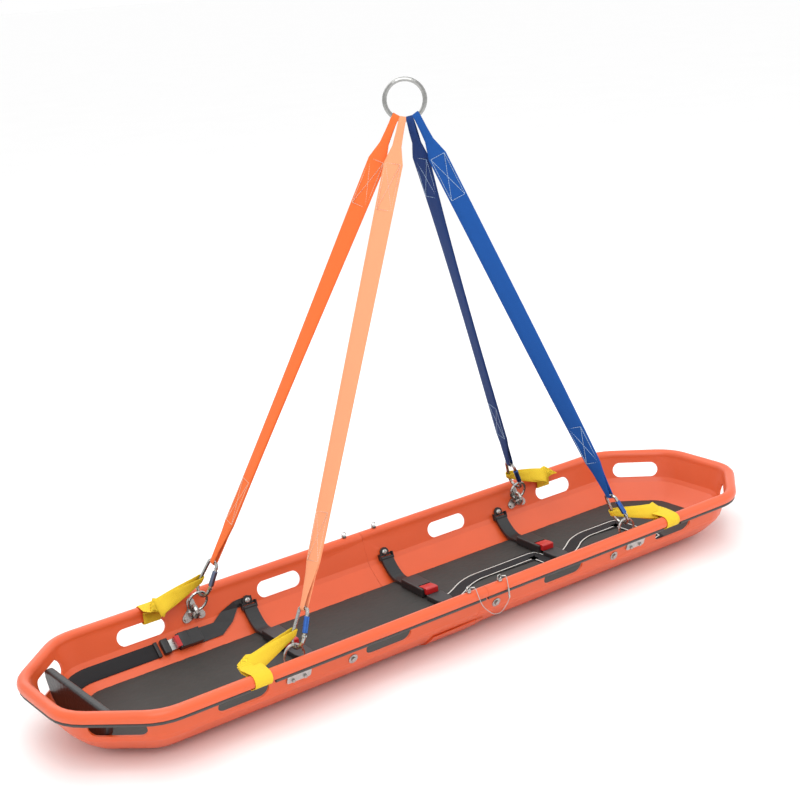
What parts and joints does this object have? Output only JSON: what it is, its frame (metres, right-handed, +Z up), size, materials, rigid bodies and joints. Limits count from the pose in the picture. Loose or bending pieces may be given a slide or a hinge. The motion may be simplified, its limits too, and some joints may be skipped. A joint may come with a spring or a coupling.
{
  "type": "basket stretcher",
  "caption": "Two-part rigid basket stretcher with mattress, buckled belts, footrest and a four-leg lifting sling with ring and locking carabiners.",
  "frame": {"origin": "on the floor under the middle of the basket, where the two halves meet", "axes": "+X towards the head end, +Y towards the side the belt buckles hang from, +Z up"},
  "size_m": [2.16, 0.5681, 1.3886],
  "materials": {
    "orange_plastic": "textured satin",
    "mattress_cover": "matt",
    "footrest_cover": "matt",
    "ring_steel": "bright",
    "orange_webbing": "woven",
    "blue_webbing": "woven",
    "yellow_webbing": "woven",
    "blue_sleeve": "anodised",
    "steel_sleeve": "turned",
    "zinc_steel": "zinc plated",
    "lanyard_cord": "braided",
    "black_buckle": "satin",
    "red_button": "satin",
    "black_tongue": "satin",
    "black_webbing": "woven"
  },
  "bodies": {
    "basket": {"backing_plate_foot_back": "zinc_steel", "backing_plate_foot_front": "zinc_steel", "backing_plate_head_back": "zinc_steel", "backing_plate_head_front": "zinc_steel", "belt_strap_2": "black_webbing", "belt_strap_3": "black_webbing", "belt_tab_1": "zinc_steel", "belt_tab_2": "zinc_steel", "belt_tab_3": "zinc_steel", "carabiner_foot_back": "zinc_steel", "carabiner_foot_front": "zinc_steel", "carabiner_head_back": "zinc_steel", "carabiner_head_front": "zinc_steel", "edge_loop_foot_back": "yellow_webbing", "edge_loop_foot_front": "yellow_webbing", "edge_loop_head_back": "yellow_webbing", "edge_loop_head_front": "yellow_webbing", "foot_belt_buckle": "black_buckle", "foot_belt_tail": "black_webbing", "foot_belt_tongue": "black_tongue", "foot_half_shell": "orange_plastic", "footrest_pad": "footrest_cover", "head_half_shell": "orange_plastic", "lifting_ring": "ring_steel", "lug_plate_foot_back": "zinc_steel", "lug_plate_foot_front": "zinc_steel", "lug_plate_head_back": "zinc_steel", "lug_plate_head_front": "zinc_steel", "lug_ring_foot_back": "zinc_steel", "lug_ring_foot_front": "zinc_steel", "lug_ring_head_back": "zinc_steel", "lug_ring_head_front": "zinc_steel", "mattress": "mattress_cover", "pin_lanyard": "lanyard_cord", "sling_leg_foot_back": "orange_webbing", "sling_leg_foot_front": "orange_webbing", "sling_leg_head_back": "blue_webbing", "sling_leg_head_front": "blue_webbing"},
    "gate_foot_back": {"carabiner_gate_foot_back": "zinc_steel"},
    "sleeve_foot_back": {"gate_sleeve_foot_back": "steel_sleeve"},
    "gate_foot_front": {"carabiner_gate_foot_front": "zinc_steel"},
    "sleeve_foot_front": {"gate_sleeve_foot_front": "blue_sleeve"},
    "gate_head_back": {"carabiner_gate_head_back": "zinc_steel"},
    "sleeve_head_back": {"gate_sleeve_head_back": "blue_sleeve"},
    "gate_head_front": {"carabiner_gate_head_front": "zinc_steel"},
    "sleeve_head_front": {"gate_sleeve_head_front": "blue_sleeve"},
    "pin_foot_back": {"lock_pin_foot_back": "zinc_steel"},
    "pin_foot_front": {"lock_pin_foot_front": "zinc_steel"},
    "pin_head_back": {"lock_pin_head_back": "zinc_steel"},
    "pin_head_front": {"lock_pin_head_front": "zinc_steel"},
    "buckle_1": {"buckle_stalk_1": "black_buckle", "belt_tongue_1": "black_tongue"},
    "button_1": {"release_button_1": "red_button"},
    "buckle_2": {"buckle_stalk_2": "black_buckle", "belt_tongue_2": "black_tongue"},
    "button_2": {"release_button_2": "red_button"},
    "buckle_3": {"buckle_stalk_3": "black_buckle", "belt_tongue_3": "black_tongue"},
    "button_3": {"release_button_3": "red_button"},
    "foot_button": {"foot_belt_button": "red_button"}
  },
  "joints": [
    {"name": "gate_foot_back_swing", "type": "hinge", "parent": "basket", "child": "gate_foot_back", "pos_m": [-0.51464, 0.18652, 0.18244], "axis": [-0.9048, -0.0847, 0.4173], "range_deg": [0, 25], "stiffness_Nm_per_rad": 0.05, "springref_deg": -34.38},
    {"name": "gate_foot_back_lock", "type": "slide", "parent": "gate_foot_back", "child": "sleeve_foot_back", "axis": [0.4222, -0.0523, 0.905], "range_m": [0, 0.007]},
    {"name": "gate_foot_front_swing", "type": "hinge", "parent": "basket", "child": "gate_foot_front", "pos_m": [-0.5138, -0.2378, 0.19165], "axis": [-0.8988, 0.0745, 0.4321], "range_deg": [0, 25], "stiffness_Nm_per_rad": 0.05, "springref_deg": -34.38},
    {"name": "gate_foot_front_lock", "type": "slide", "parent": "gate_foot_front", "child": "sleeve_foot_front", "axis": [0.4348, 0.2782, 0.8565], "range_m": [0, 0.007]},
    {"name": "gate_head_back_swing", "type": "hinge", "parent": "basket", "child": "gate_head_back", "pos_m": [0.51725, 0.18508, 0.18285], "axis": [-0.9223, 0.0838, -0.3774], "range_deg": [0, 25], "stiffness_Nm_per_rad": 0.05, "springref_deg": -34.38},
    {"name": "gate_head_back_lock", "type": "slide", "parent": "gate_head_back", "child": "sleeve_head_back", "axis": [-0.3834, -0.0726, 0.9207], "range_m": [0, 0.007]},
    {"name": "gate_head_front_swing", "type": "hinge", "parent": "basket", "child": "gate_head_front", "pos_m": [0.51773, -0.2389, 0.19315], "axis": [-0.9252, -0.0576, -0.3751], "range_deg": [0, 25], "stiffness_Nm_per_rad": 0.05, "springref_deg": -34.38},
    {"name": "gate_head_front_lock", "type": "slide", "parent": "gate_head_front", "child": "sleeve_head_front", "axis": [-0.3763, 0.2665, 0.8873], "range_m": [0, 0.007]},
    {"name": "pin_foot_back_pull", "type": "slide", "parent": "basket", "child": "pin_foot_back", "axis": [0, 0, 1], "range_m": [0, 0.045]},
    {"name": "pin_foot_front_pull", "type": "slide", "parent": "basket", "child": "pin_foot_front", "axis": [0, 0, 1], "range_m": [0, 0.045]},
    {"name": "pin_head_back_pull", "type": "slide", "parent": "basket", "child": "pin_head_back", "axis": [0, 0, 1], "range_m": [0, 0.045]},
    {"name": "pin_head_front_pull", "type": "slide", "parent": "basket", "child": "pin_head_front", "axis": [0, 0, 1], "range_m": [0, 0.045]},
    {"name": "buckle_1_swing", "type": "hinge", "parent": "basket", "child": "buckle_1", "pos_m": [-0.38885, 0.21897, 0.0819], "axis": [-0.9986, 0.0523, 0], "range_deg": [0, 70]},
    {"name": "button_1_press", "type": "slide", "parent": "buckle_1", "child": "button_1", "axis": [0.0523, 0.9986, 0], "range_m": [0, 0.004], "stiffness_N_per_m": 800, "springref_m": -0.002},
    {"name": "buckle_2_swing", "type": "hinge", "parent": "basket", "child": "buckle_2", "pos_m": [0.05415, 0.21897, 0.0819], "axis": [-0.9986, 0.0523, 0], "range_deg": [0, 70], "deforming": ["belt_strap_2"]},
    {"name": "button_2_press", "type": "slide", "parent": "buckle_2", "child": "button_2", "axis": [0.0523, 0.9986, 0], "range_m": [0, 0.004], "stiffness_N_per_m": 800, "springref_m": -0.002},
    {"name": "buckle_3_swing", "type": "hinge", "parent": "basket", "child": "buckle_3", "pos_m": [0.46615, 0.21897, 0.0819], "axis": [-0.9986, 0.0523, 0], "range_deg": [0, 70], "deforming": ["belt_strap_3"]},
    {"name": "button_3_press", "type": "slide", "parent": "buckle_3", "child": "button_3", "axis": [0.0523, 0.9986, 0], "range_m": [0, 0.004], "stiffness_N_per_m": 800, "springref_m": -0.002},
    {"name": "foot_button_press", "type": "slide", "parent": "basket", "child": "foot_button", "axis": [1, 0, 0], "range_m": [0, 0.003], "stiffness_N_per_m": 800, "springref_m": -0.002}
  ]
}
